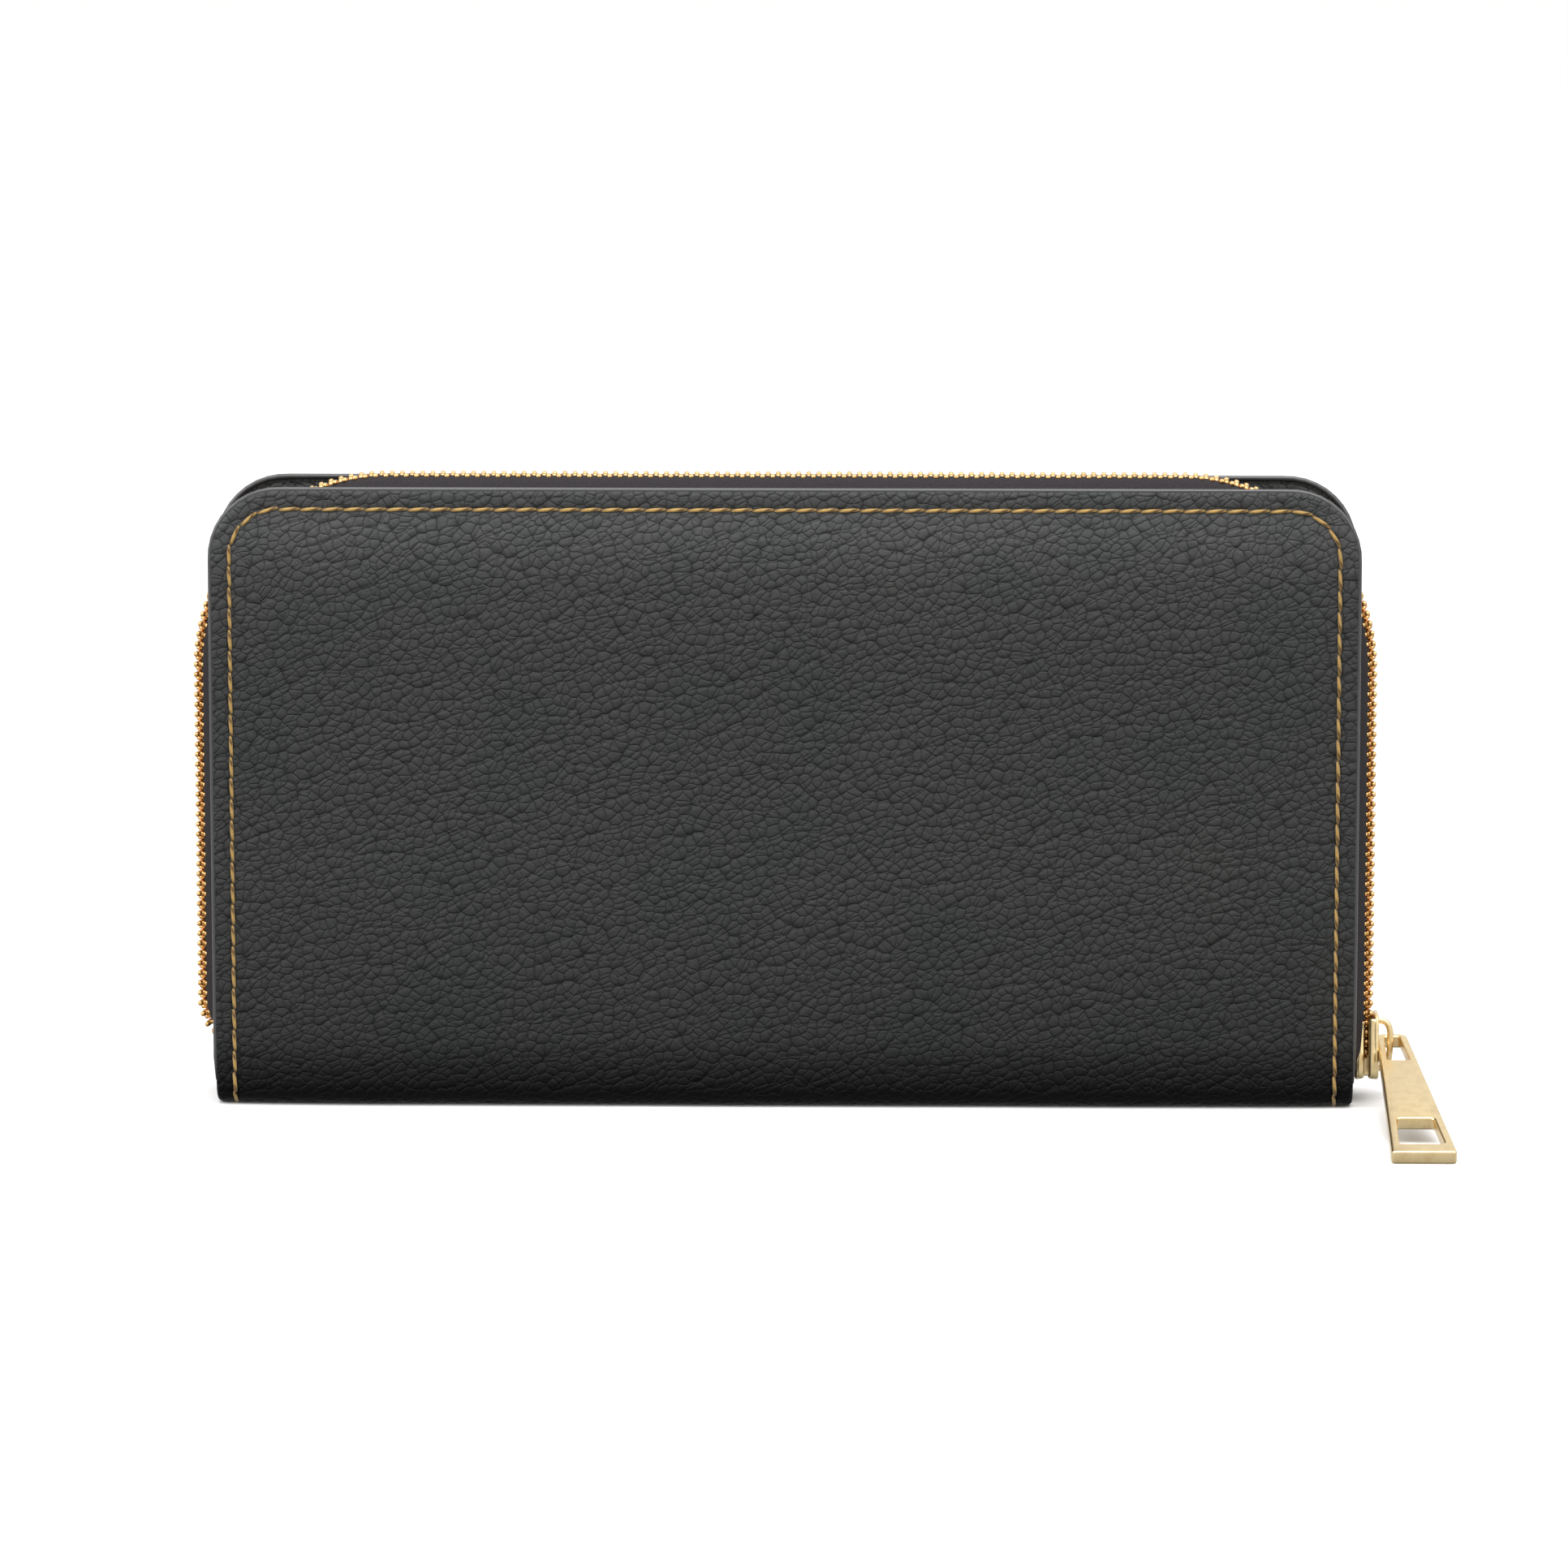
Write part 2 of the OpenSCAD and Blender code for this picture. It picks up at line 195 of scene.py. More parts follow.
def pebbled_leather(fold_v):
    """Black leather with an irregular pebble grain.

    fold_v is V under the wallet. By V the colour carries painted light and shade: lightest in a band
    near the top as a painted highlight, darker down the cover, and nearly black under the wallet as
    painted shade."""
    n = Nodes("pebbled_leather", Specular_IOR_Level=0.12)
    uv = n.coords("UV")
    wander = n.add("ShaderNodeTexNoise", Vector=uv, Scale=36.0, Detail=5.0).outputs["Color"]
    moved = n.add("ShaderNodeVectorMath", {"operation": "MULTIPLY_ADD"}, i0=wander,
                  i1=(0.009, 0.009, 0.0), i2=uv).outputs[0]
    grain = n.mapped(moved, turn=math.radians(25))
    cross = n.mapped(moved, turn=math.radians(-52))
    pebbles = n.pebbles(n.mapped(grain, (0.9, 1.1, 1.0)), 158.0, 0.20)
    wrinkles = n.pebbles(n.mapped(cross, (0.9, 1.1, 1.0)), 270.0, 0.2)
    folds = n.creases(n.mapped(grain, (24.0, 62.0, 1.0)), 1.0, 0.15)
    cross_folds = n.creases(n.mapped(cross, (28.0, 60.0, 1.0)), 1.0, 0.12)
    pores = n.noise(uv, 1100.0)
    height = n.math("MULTIPLY", pebbles, 0.90)
    height = n.math("MULTIPLY_ADD", wrinkles, 0.14, height)
    height = n.math("MULTIPLY_ADD", folds, 0.34, height)
    height = n.math("MULTIPLY_ADD", cross_folds, 0.20, height)
    height = n.math("MULTIPLY_ADD", pores, 0.07, height)
    down = n.add("ShaderNodeSeparateXYZ", Vector=uv).outputs[1]
    away = n.math("ABSOLUTE", n.math("SUBTRACT", down, fold_v))
    # Painted light and shade by V: a painted highlight in a band near the top, darker down the cover,
    # nearly black at the fold
    painted_light_and_shade = n.ramp(away, (0.046, 0.0), (0.060, 0.09), (0.083, 0.36), (0.125, 0.45), (0.20, 0.54),
                   (0.35, 0.56), (0.405, 0.66), (0.446, 1.0), (0.458, 0.78))
    patches = n.ramp(n.noise(uv, 9.0, 3.0, 0.6), (0.35, 0.0), (0.65, 1.0))
    tint = n.mix(patches, (0.057, 0.061, 0.059, 1), (0.065, 0.065, 0.064, 1))
    # Painted shade: the colour is darker in the creases between the pebbles
    tint_with_painted_crease_shade = n.mix(n.math("POWER", pebbles, 0.7), (0.026, 0.028, 0.027, 1), tint)
    colour = n.mix(painted_light_and_shade, (0.0008, 0.0008, 0.0008, 1), tint_with_painted_crease_shade)
    rough = n.math("MULTIPLY_ADD", n.noise(uv, 160.0), 0.14, 0.34)
    rough = n.math("MULTIPLY_ADD", n.math("SUBTRACT", 1.0, painted_light_and_shade), 0.16, rough)
    return n.surface(colour, rough, n.bump(height, 0.00055, 1.0))


def smooth_leather(name, dark, light):
    """Thin calf-like leather for the inside, with a fine grain."""
    n = Nodes(name, Specular_IOR_Level=0.4)
    place = n.coords("Object")
    cells = n.add("ShaderNodeTexVoronoi", {"feature": "DISTANCE_TO_EDGE"}, Vector=place,
                  Scale=1500.0, Randomness=1.0).outputs["Distance"]
    grain = n.ramp(cells, (0.0, 0.0), (0.2, 0.9), (0.5, 1.0))
    patches = n.noise(place, 60.0, 4.0)
    colour = n.mix(n.math("MULTIPLY", patches, grain), (*dark, 1), (*light, 1))
    rough = n.math("MULTIPLY_ADD", n.noise(place, 300.0), 0.2, 0.40)
    height = n.math("ADD", grain, n.noise(place, 3000.0))
    return n.surface(colour, rough, n.bump(height, 0.00004, 0.8))


def woven(name, dark, light, threads, depth, sheen=0.15):
    """A fine twill; threads is how many go into a metre."""
    n = Nodes(name, Sheen_Weight=sheen, Sheen_Roughness=0.5, Specular_IOR_Level=0.25)
    parts = n.add("ShaderNodeSeparateXYZ", Vector=n.mapped(n.coords("UV"), (threads, threads, 1)))
    across, along = parts.outputs[0], parts.outputs[1]
    warp = n.math("SINE", n.math("MULTIPLY", n.math("ADD", across, along), 2 * math.pi))
    slant = n.math("SUBTRACT", across, n.math("MULTIPLY", along, 3.0))
    weft = n.math("SINE", n.math("MULTIPLY", slant, 2 * math.pi))
    weave = n.math("MULTIPLY_ADD", warp, 0.5, n.math("MULTIPLY", weft, 0.3))
    fuzz = n.noise(n.coords("Object"), 2500.0, 2.0)
    shade = n.math("MULTIPLY_ADD", weave, 0.35, n.math("MULTIPLY", fuzz, 0.9))
    colour = n.mix(n.ramp(shade, (0.2, 0.0), (0.8, 1.0)), (*dark, 1), (*light, 1))
    return n.surface(colour, n.math("MULTIPLY_ADD", fuzz, 0.2, 0.72),
                     n.bump(n.math("ADD", weave, fuzz), depth, 0.8))


def metal(name, tint, worn, rough, pits):
    """Plated metal, a little worn and finely pitted."""
    n = Nodes(name, Metallic=1.0)
    place = n.coords("Object")
    wear = n.noise(place, 500.0, 5.0, 0.65)
    colour = n.mix(n.ramp(wear, (0.45, 0.0), (0.75, 1.0)), (*tint, 1), (*worn, 1))
    speck = n.ramp(n.noise(place, 2600.0, 2.0), (0.25, 0.0), (0.38, 1.0))
    uneven = n.math("MULTIPLY_ADD", n.noise(place, 900.0), 0.16, rough)
    height = n.math("MULTIPLY_ADD", speck, pits, n.math("MULTIPLY", wear, 0.4))
    return n.surface(colour, uneven, n.bump(height, 0.00003, 0.7))


def thread_material():
    """Waxed sewing thread: two plies twisted round each other, drawn along U."""
    n = Nodes("ochre_thread", Sheen_Weight=0.2, Specular_IOR_Level=0.4)
    parts = n.add("ShaderNodeSeparateXYZ", Vector=n.coords("UV"))
    round_it = n.math("MULTIPLY", parts.outputs[1], 2 * math.pi)
    twist = n.math("SINE", n.math("MULTIPLY_ADD", parts.outputs[0], 22.0, round_it))
    ply = n.ramp(n.math("MULTIPLY_ADD", twist, 0.5, 0.5), (0.0, 0.0), (0.45, 0.8), (1.0, 1.0))
    fuzz = n.noise(n.coords("Object"), 1800.0)
    light = n.mix(fuzz, (0.27, 0.155, 0.030, 1), (0.46, 0.29, 0.085, 1))
    # Painted shade: the groove between the two plies is coloured dark
    return n.surface(n.mix(ply, (0.09, 0.045, 0.008, 1), light),
                     n.math("MULTIPLY_ADD", fuzz, 0.2, 0.42), n.bump(ply, 0.00008, 0.9))


def painted_edge():
    """The glossy black paint on a cut leather edge."""
    n = Nodes("edge_paint", Specular_IOR_Level=0.8)
    uneven = n.noise(n.coords("Object"), 240.0)
    return n.surface(n.mix(uneven, (0.020, 0.020, 0.021, 1), (0.040, 0.040, 0.042, 1)),
                     n.math("MULTIPLY_ADD", uneven, 0.2, 0.26), n.bump(uneven, 0.00005, 0.5))


def card_material():
    n = Nodes("grey_board", Specular_IOR_Level=0.2)
    fibres = n.noise(n.coords("Object"), 700.0, 5.0, 0.7)
    return n.surface(n.mix(fibres, (0.40, 0.37, 0.32, 1), (0.55, 0.52, 0.46, 1)), 0.85,
                     n.bump(fibres, 0.00005, 0.5))


# Near black: painted shade inside each needle hole
def hole_material():
    n = Nodes("needle_hole", Specular_IOR_Level=0.1)
    return n.surface(n.mix(n.noise(n.coords("Object"), 900.0), (0.004, 0.004, 0.004, 1),
                           (0.010, 0.009, 0.008, 1)), 0.9)


def floor_material():
    n = Nodes("pale_floor", Specular_IOR_Level=0.2)
    grain = n.noise(n.coords("Object"), 40.0)
    return n.surface(n.mix(grain, (0.87, 0.865, 0.86, 1), (0.90, 0.895, 0.89, 1)), 0.8)


LEATHER = pebbled_leather(SKIN_FOLD_S * MM / LEATHER_UV)
INNER = smooth_leather("inner_leather", (0.016, 0.016, 0.017), (0.036, 0.035, 0.036))
GUSSET = smooth_leather("gusset_leather", (0.012, 0.012, 0.012), (0.028, 0.027, 0.027))
LINING = woven("charcoal_lining", (0.020, 0.020, 0.023), (0.055, 0.055, 0.060), 2200, 0.00005)
TAPE = woven("zip_tape", (0.006, 0.005, 0.006), (0.028, 0.022, 0.027), 1500, 0.00011, 0.02)
GOLD = metal("gold_teeth", (0.80, 0.50, 0.21), (0.48, 0.26, 0.08), 0.22, 0.4)
PALE_GOLD = metal("pale_gold", (0.86, 0.68, 0.38), (0.74, 0.55, 0.28), 0.24, 0.8)
EDGE_PAINT = painted_edge()
THREAD = thread_material()
BOARD = card_material()
HOLE = hole_material()


# -------------------------------- building pieces
def new_object(name, data):
    thing = bpy.data.objects.new(name, data)
    bpy.context.scene.collection.objects.link(thing)
    return thing


def make_piece(name, verts, faces, material, uvs):
    mesh = bpy.data.meshes.new(name)
    mesh.from_pydata([tuple(np.asarray(v, float) * MM) for v in verts], [], faces)
    mesh.materials.append(material)
    layer = mesh.uv_layers.new(name="UVMap")
    loops = np.empty(len(mesh.loops), dtype=np.int32)
    mesh.loops.foreach_get("vertex_index", loops)
    layer.data.foreach_set("uv", np.asarray(uvs, np.float32)[loops].ravel())
    mesh.polygons.foreach_set("use_smooth", [True] * len(mesh.polygons))
    mesh.update()
    piece = new_object(name, mesh)
    return piece


def tube_faces(rings, sides, start=0):
    """A closed tube's faces, with a cap at each end."""
    end = start + (rings - 1) * sides
    return grid_faces(rings, sides, wrap=True, start=start) + [
        tuple(reversed(range(start, start + sides))), tuple(range(end, end + sides))]


def edited(piece, work):
    """The piece, after work() has had its mesh as a BMesh."""
    bm = bmesh.new()
    bm.from_mesh(piece.data)
    work(bm)
    bm.to_mesh(piece.data)
    bm.free()
    return piece


def outward(piece):
    return edited(piece, lambda bm: bmesh.ops.recalc_face_normals(bm, faces=bm.faces))


def grid_faces(rows, cols, wrap=False, start=0):
    """Four-sided faces between rows of vertices; wrap joins each row's end to its beginning."""
    faces = []
    for i in range(rows - 1):
        for j in range(cols if wrap else cols - 1):
            k = (j + 1) % cols
            faces.append((start + i * cols + j, start + i * cols + k,
                          start + (i + 1) * cols + k, start + (i + 1) * cols + j))
    return faces


def thickened(piece, thickness, offset=0):
    """A sheet given thickness about its middle, or with offset -1 behind its outer face."""
    solid = piece.modifiers.new("thickness", "SOLIDIFY")
    solid.thickness = thickness * MM
    solid.offset = offset
    depsgraph = bpy.context.evaluated_depsgraph_get()
    mesh = bpy.data.meshes.new_from_object(piece.evaluated_get(depsgraph))
    piece.modifiers.clear()
    piece.data = mesh
    return piece


class RoundPath:
    """Up one side, over a rounded top and down the other, in the X-Z plane."""

    def __init__(self, half, low, high, r):
        self.half, self.low, self.high, self.r = half, low, high, r
        self.rise, self.bend, self.across = high - r - low, math.pi * r / 2, 2 * (half - r)
        self.length = 2 * (self.rise + self.bend) + self.across

    def at(self, s):
        """The point, and the outward normal, at a distance along."""
        half, high, r = self.half, self.high, self.r
        if s < self.rise:
            return np.array([-half, self.low + s]), np.array([-1.0, 0.0])
        s -= self.rise
        if s < self.bend:
            n = np.array([-math.cos(s / r), math.sin(s / r)])
            return np.array([r - half, high - r]) + r * n, n
        s -= self.bend
        if s < self.across:
            return np.array([r - half + s, high]), np.array([0.0, 1.0])
        s -= self.across
        if s < self.bend:
            n = np.array([math.sin(s / r), math.cos(s / r)])
            return np.array([half - r, high - r]) + r * n, n
        s -= self.bend
        return np.array([half, high - r - s]), np.array([1.0, 0.0])


def edge_distance(x, z, half, top, r):
    """How far a point of a cover lies from its side and top edges."""
    cx, cz = abs(x) - (half - r), z - (top - r)
    if cx > 0 and cz > 0:
        return r - math.hypot(cx, cz)
    return min(half - abs(x), top - z)


def spaced(total, dense, step):
    """Distances from an edge: close together at first, then even, mirrored from the far edge."""
    middle = np.linspace(dense[-1], total - dense[-1],
                         max(2, int((total - 2 * dense[-1]) / step) + 1))[1:-1]
    return np.concatenate([dense, middle, total - np.array(dense[::-1])])


def ripple(x, s):
    """A slow unevenness, from -1 to 1."""
    return (math.sin(x * 0.041 + 1.3) * math.sin(s * 0.057 + 0.4)
            + 0.6 * math.sin(x * 0.097 + s * 0.061 + 2.1)
            + 0.35 * math.sin(x * 0.19 - s * 0.15 + 0.7)) / 1.95


def wrap_piece(name, depth, foot, half, top, r, fold_r, shell, height, material, uv_unit):
    """A sheet that hangs over the fold: down the front, under, and up the back.

    depth is how far its outer face stands from the meeting plane, foot its lowest height, and
    height(edge distance, x, s) moves its outer face out or in."""
    face = top - foot - fold_r
    bend = fold_r * math.pi / 2
    half_run = face + bend + (depth - fold_r)
    # Rows stand close where the edge rolls over and the seam sinks in
    dense = [0.0, 0.12, 0.3, 0.55, 0.85, 1.2, 1.7, 2.3, 2.75, 3.05, 3.3, 3.55, 3.9, 4.5, 5.5, 7.0]
    down = [s for s in dense if s < 7] + list(np.linspace(7, face, 76))
    down += list(np.linspace(face, face + bend, 14)[1:])
    down += list(np.linspace(face + bend, half_run, 8)[1:])
    run = down + [2 * half_run - s for s in reversed(down[:-1])]
    across = spaced(2 * half, dense, 1.4)
    verts, uvs = [], []
    for s in run:
        side = FRONT if s <= half_run else BACK
        t = min(s, 2 * half_run - s)
        if t < face:
            y, z, ny, nz = depth, top - t, 1.0, 0.0
        elif t < face + bend:
            a = (t - face) / fold_r
            y, z = depth - fold_r + fold_r * math.cos(a), foot + fold_r - fold_r * math.sin(a)
            ny, nz = math.cos(a), -math.sin(a)
        else:
            y, z, ny, nz = depth - fold_r - (t - face - bend), foot, 0.0, -1.0
        cz = z - (top - r)
        wide = half if cz <= 0 else half - r + math.sqrt(max(r * r - cz * cz, 0.0))
        for c in across:
            x = (c - half) * wide / half
            lift = height(edge_distance(x, z, half, top, r), x, s)
            if nz < 0 and lift > 0:
                lift *= ny
            verts.append((x, side * (y + lift * ny), z + lift * nz))
            uvs.append((0.5 + x * MM / uv_unit, s * MM / uv_unit))
    piece = make_piece(name, verts, grid_faces(len(run), len(across)), material, uvs)

    def face_out(bm):
        bmesh.ops.recalc_face_normals(bm, faces=bm.faces)
        front = min(bm.faces, key=lambda f: f.calc_center_median().y)
        if front.normal.y > 0:
            bmesh.ops.reverse_faces(bm, faces=bm.faces)

    return thickened(edited(piece, face_out), shell, -1)


def panel_points(half, low, high, r=2.5, steps=14):
    """A panel's outline with rounded top corners, anticlockwise from its lower left corner."""
    points = [(-half, low), (half, low)]
    for x, start in ((half - r, 0), (r - half, 90)):
        for k in range(steps + 1):
            a = math.radians(start + 90 * k / steps)
            points.append((x + r * math.cos(a), high - r + r * math.sin(a)))
    return points


def plate(name, outlines, thickness, bevel, place, material, rings=3):
    """A flat piece with rounded edges. place turns (across, up, out) into X, Y, Z."""
    curve = bpy.data.curves.new(name, "CURVE")
    curve.dimensions = "2D"
    curve.fill_mode = "BOTH"
    curve.extrude = max(thickness / 2 - bevel, 0.001)
    curve.bevel_depth = bevel
    curve.bevel_resolution = rings
    curve.offset = -bevel
    for outline in outlines:
        spline = curve.splines.new("POLY")
        spline.points.add(len(outline) - 1)
        for point, (a, b) in zip(spline.points, outline):
            point.co = (a, b, 0, 1)
        spline.use_cyclic_u = True
    holder = new_object(name + "_curve", curve)
    depsgraph = bpy.context.evaluated_depsgraph_get()
    mesh = bpy.data.meshes.new_from_object(holder.evaluated_get(depsgraph))
    verts = [v.co.copy() for v in mesh.vertices]
    faces = [tuple(p.vertices) for p in mesh.polygons]
    bpy.data.objects.remove(holder)
    bpy.data.curves.remove(curve)
    bpy.data.meshes.remove(mesh)
    uvs = [(0.5 + v.x * MM / LEATHER_UV, v.y * MM / LEATHER_UV) for v in verts]
    piece = make_piece(name, [place(*v) for v in verts], faces, material, uvs)
    edited(piece, lambda bm: bmesh.ops.remove_doubles(bm, verts=bm.verts, dist=1e-7))
    return edited(outward(piece), keep_edges)


def keep_edges(bm, angle=math.radians(40)):
    """Shades edges sharp where two faces meet at more than the angle."""
    for edge in bm.edges:
        edge.smooth = not (len(edge.link_faces) == 2 and edge.calc_face_angle(0) > angle)


def swept_tube(path, radius, sides, flat=1.0):
    """Verts, faces and UVs of a tube along points, closed at both ends. radius may be a list."""
    path = [np.asarray(p, float) for p in path]
    verts, uvs = [], []
    run = 0.0
    up = np.array([0.0, 1.0, 0.0])
    for k, p in enumerate(path):
        t = path[min(k + 1, len(path) - 1)] - path[max(k - 1, 0)]
        t /= np.linalg.norm(t)
        side = np.cross(up, t)
        if np.linalg.norm(side) < 1e-6:
            side = np.array([1.0, 0.0, 0.0])
        side /= np.linalg.norm(side)
        lift = np.cross(t, side)
        if k:
            run += np.linalg.norm(p - path[k - 1])
        r = radius[k] if isinstance(radius, list) else radius
        for j in range(sides):
            a = 2 * math.pi * j / sides
            verts.append(p + r * (math.cos(a) * side + flat * math.sin(a) * lift))
            uvs.append((run / 10, j / sides))
    return verts, tube_faces(len(path), sides), uvs


def smooth_points(points, per=5):
    """A Catmull-Rom curve through points."""
    pts = [np.asarray(p, float) for p in points]
    pts = [2 * pts[0] - pts[1]] + pts + [2 * pts[-1] - pts[-2]]
    out = []
    for k in range(1, len(pts) - 2):
        a, b, c, d = pts[k - 1:k + 3]
        for j in range(per):
            t = j / per
            out.append(0.5 * (2 * b + (c - a) * t + (2 * a - 5 * b + 4 * c - d) * t * t
                              + (3 * b - a - 3 * c + d) * t ** 3))
    out.append(pts[-2])
    return out


def rounded(points, radii, steps=6):
    """A closed outline with each corner rounded by its own radius."""
    out = []
    count = len(points)
    for k, r in enumerate(radii):
        p = np.array(points[k], float)
        a = np.array(points[k - 1], float) - p
        b = np.array(points[(k + 1) % count], float) - p
        a /= np.linalg.norm(a)
        b /= np.linalg.norm(b)
        angle = math.acos(max(-1.0, min(1.0, float(a @ b))))
        reach = r / math.tan(angle / 2)
        centre = p + (a + b) / np.linalg.norm(a + b) * r / math.sin(angle / 2)
        first, last = p + a * reach - centre, p + b * reach - centre
        turn = math.atan2(first[0] * last[1] - first[1] * last[0], float(first @ last))
        for j in range(steps + 1):
            g = turn * j / steps
            out.append((centre[0] + first[0] * math.cos(g) - first[1] * math.sin(g),
                        centre[1] + first[0] * math.sin(g) + first[1] * math.cos(g)))
    return out


def joined(parts):
    """Several (verts, faces, uvs) as one."""
    verts, faces, uvs = [], [], []
    for v, f, u in parts:
        offset = len(verts)
        verts += list(v)
        uvs += list(u)
        faces += [tuple(i + offset for i in face) for face in f]
    return verts, faces, uvs


# -------------------------------- outer leather
def cover_height(d, x, s):
    """The outer skin: a rolled edge, a sewn furrow inside it, and a gently padded middle.

    d is the distance from the edge and s the distance down the skin."""
    h = 0.0
    if d < 1.0:
        h -= 0.8 * (1 - math.sqrt(max(0.0, 1 - (1 - d) ** 2)))
    h -= 0.30 * math.exp(-((d - STITCH_INSET) / 0.55) ** 2)
    inside = max(d - STITCH_INSET, 0.0)
    h += 0.42 * (1 - math.exp(-inside / 2.6)) + 0.55 * (1 - math.exp(-inside / 13.0))
    h += 0.16 * ripple(x, s) * (1 - math.exp(-inside / 5.0))
    return h


outer = wrap_piece("outer_leather", depth=HALF_T, foot=0.0, half=HALF_W, top=COVER_TOP, r=COVER_R,
                   fold_r=SKIN_R, shell=LEATHER_T, height=cover_height, material=LEATHER,
                   uv_unit=LEATHER_UV)
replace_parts(outer, "front_cover_leather", "spine_leather", "back_cover_leather")
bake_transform(outer)

lining_high = box_mm("back_cover_lining")[1]
inner_lining = wrap_piece("inner_lining", depth=7.95, foot=1.35, half=lining_high[0],
                          top=lining_high[2], r=24.0, fold_r=3.0, shell=0.4,
                          height=lambda d, x, s: 0.0, material=LINING, uv_unit=1.0)
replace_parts(inner_lining, "front_cover_lining", "spine_lining", "back_cover_lining")
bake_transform(inner_lining)


# -------------------------------- stitching
def stitch(p, along, out, length, lean, thick):
    """One lockstitch: a thread that rises out of one hole and dives into the next."""
    side = np.cross(out, along)
    points = []
    for k in range(9):
        u = k / 8 * 2 - 1
        points.append(p + along * (u * length / 2) + side * (u * lean)
                      + out * (0.30 * (1 - u ** 8) - 0.12))
    radius = [thick * (0.86 + 0.14 * (1 - abs(k / 4 - 1) ** 2)) for k in range(9)]
    return swept_tube(points, radius, 8)


def hole(p, along, out, r):
    """A dimple where the needle went through, coloured near black as painted shade inside the hole."""
    side = np.cross(out, along)
    ring = [p + r * (1.25 * math.cos(a) * along + math.sin(a) * side) + out * 0.03
            for a in np.linspace(0, 2 * math.pi, 10, endpoint=False)]
    verts = ring + [p - out * 0.05]
    return verts, [(j, (j + 1) % 10, 10) for j in range(10)], [(0, 0)] * 11


# How high on the covers the seam's run under the spine begins
SEAM_FOOT = 6.0


def seam_stations(side):
    """Places of the stitches on one cover, down to just above the fold."""
    path = RoundPath(HALF_W - STITCH_INSET, SEAM_FOOT, COVER_TOP - STITCH_INSET,
                     COVER_R - STITCH_INSET)
    count = round(path.length / STITCH_PITCH)
    step = path.length / count
    for k in range(count):
        p, n = path.at((k + 0.5) * step)
        depth = HALF_T + cover_height(STITCH_INSET, p[0], COVER_TOP - p[1])
        along = np.array([n[1], 0.0, -n[0]])
        yield np.array([p[0], side * depth, p[1]]), along, np.array([0.0, side, 0.0]), step


def fold_stations(x):
    """Places of the stitches that carry the seam under the spine, from front to back."""
    rise, bend = SEAM_FOOT - SKIN_R, math.pi * SKIN_R / 2
    half_run = rise + bend + HALF_T - SKIN_R
    count = round(2 * half_run / STITCH_PITCH)
    step = 2 * half_run / count
    sunk = cover_height(STITCH_INSET, x, 0.0)
    for k in range(count):
        s = (k + 0.5) * step
        side, t = (FRONT, s) if s < half_run else (BACK, 2 * half_run - s)
        if t < rise:
            y, z, a = HALF_T, SEAM_FOOT - t, 0.0
        elif t < rise + bend:
            a = (t - rise) / SKIN_R
            y, z = HALF_T - SKIN_R * (1 - math.cos(a)), SKIN_R * (1 - math.sin(a))
        else:
            y, z, a = HALF_T - SKIN_R - (t - rise - bend), 0.0, math.pi / 2
        out = np.array([0.0, side * math.cos(a), -math.sin(a)])
        along = np.array([0.0, side * -math.sin(a), -math.cos(a)])
        yield np.array([x, side * y, z]) + out * sunk, along, out, step


def make_seam(stations, name):
    threads, holes = [], []
    for p, along, out, step in stations:
        threads.append(stitch(p, along, out, step * 0.96, 0.12, 0.33))
        holes.append(hole(p + along * step / 2, along, out, 0.42))
    v, f, u = joined(threads)
    seam = outward(make_piece(name, v, f, THREAD, u))
    v, f, u = joined(holes)
    dots = outward(make_piece(name.replace("stitching", "needle_holes"), v, f, HOLE,
                              u))
    return seam, dots


for side, body, end in HALVES:
    seam, dots = make_seam(seam_stations(side), end + "_cover_stitching")
    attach(seam, body)
    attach(dots, body)
    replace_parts(seam, end + "_stitching")
for sign, end in ((-1, "left"), (1, "right")):
    for piece in make_seam(fold_stations(sign * (HALF_W - STITCH_INSET)), end + "_fold_stitching"):
        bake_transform(piece)


# -------------------------------- the covers' painted edges
for side, body, end in HALVES:
    rim = RoundPath(HALF_W + 0.02, SKIN_R, COVER_TOP + 0.02, COVER_R)
    depth = side * (HALF_T - LEATHER_T / 2 - 0.45)
    line = [rim.at(s)[0] for s in np.linspace(0, rim.length, 200)]
    taper = [0.48 * min(1.0, 0.25 + (z - SKIN_R) / 5.0) for x, z in line]
    v, f, u = swept_tube([(x, depth, z) for x, z in line], taper, 10)
    bead = make_piece(end + "_edge_paint", v, f, EDGE_PAINT, u)
    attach(outward(bead), body)


# -------------------------------- the main zip
TAPE_FOOT = 4.0
# The left end of the chain, where it comes out from behind the covers
FIRST_TOOTH = teeth_low[2] + 7.5
# How far the tape's hidden edge lies from the meeting plane, and how far its ends tuck in
TAPE_DEPTH = 8.6
TUCK = 4.2
chain = RoundPath(CHAIN_X, TAPE_FOOT, CHAIN_TOP, CHAIN_R)


def chain_point(s):
    """A point on the chain's middle line and its outward normal; the two ends tuck inwards."""
    p, n = chain.at(s)
    start, run = (TAPE_FOOT + 5.0, 6.0) if p[0] > 0 else (17.5, 12.0)
    low = min(1.0, max(0.0, (start - p[1]) / run))
    p = p - np.array([math.copysign(TUCK * low * low * (3 - 2 * low), p[0]), 0.0])
    return p, n


